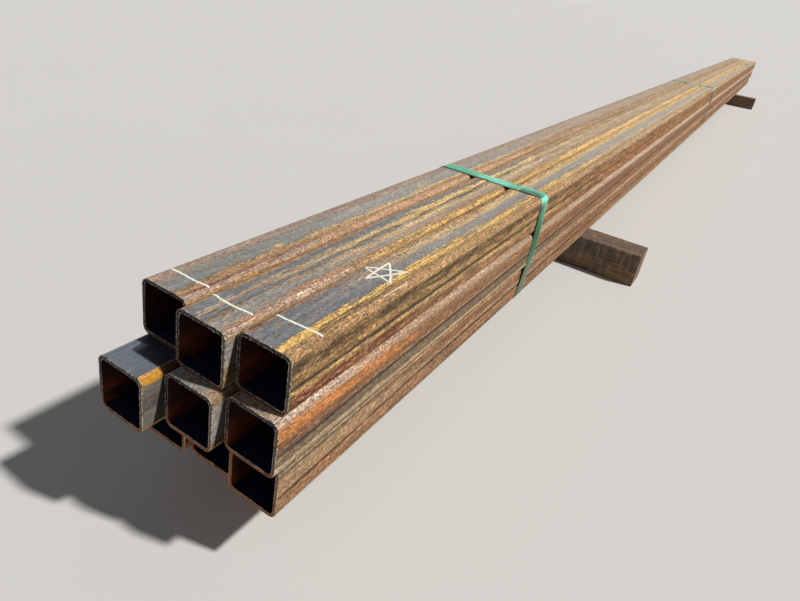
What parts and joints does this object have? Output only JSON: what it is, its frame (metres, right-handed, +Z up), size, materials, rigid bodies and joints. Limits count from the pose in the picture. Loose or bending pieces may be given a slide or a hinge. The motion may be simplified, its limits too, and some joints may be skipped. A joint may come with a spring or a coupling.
{
  "type": "bundle of square steel tubes",
  "caption": "Strapped bundle of long square steel tubes, stacked in rows on timber bearers, with mill scale and streaks of rust; raw stock for frames and posts.",
  "frame": {"origin": "bounding box bottom centre: on the floor under the middle of the bundle", "axes": "+Y along the tubes, away from the front ends that the picture shows; +X to the right seen from those ends; +Z up"},
  "size_m": [0.9144, 12.314, 0.5339],
  "materials": {
    "tube_bottom_left": "blue-grey mill scale with long streaks of orange and brown rust, matte",
    "tube_bottom_centre": "blue-grey mill scale with long streaks of orange and brown rust, matte",
    "tube_bottom_right": "blue-grey mill scale with long streaks of orange and brown rust, matte",
    "tube_middle_left": "blue-grey mill scale with long streaks of orange and brown rust, matte",
    "tube_middle_centre": "blue-grey mill scale with long streaks of orange and brown rust, matte",
    "tube_middle_right": "blue-grey mill scale with long streaks of orange and brown rust, matte",
    "tube_top_left": "blue-grey mill scale with long streaks of orange and brown rust, matte",
    "tube_top_centre": "blue-grey mill scale with long streaks of orange and brown rust, matte",
    "tube_top_right": "blue-grey mill scale with long streaks of orange and brown rust, matte",
    "strap_paint": "green strapping paint, semi-gloss",
    "timber": "rough sawn, weathered"
  },
  "bodies": {
    "root": {"tube_bottom_left": "tube_bottom_left", "tube_bottom_centre": "tube_bottom_centre", "tube_bottom_right": "tube_bottom_right", "tube_middle_left": "tube_middle_left", "tube_middle_centre": "tube_middle_centre", "tube_middle_right": "tube_middle_right", "tube_top_left": "tube_top_left", "tube_top_centre": "tube_top_centre", "tube_top_right": "tube_top_right", "strap_front": "strap_paint", "strap_middle": "strap_paint", "strap_rear": "strap_paint", "bearer_front": "timber", "bearer_rear": "timber"}
  },
  "joints": []
}
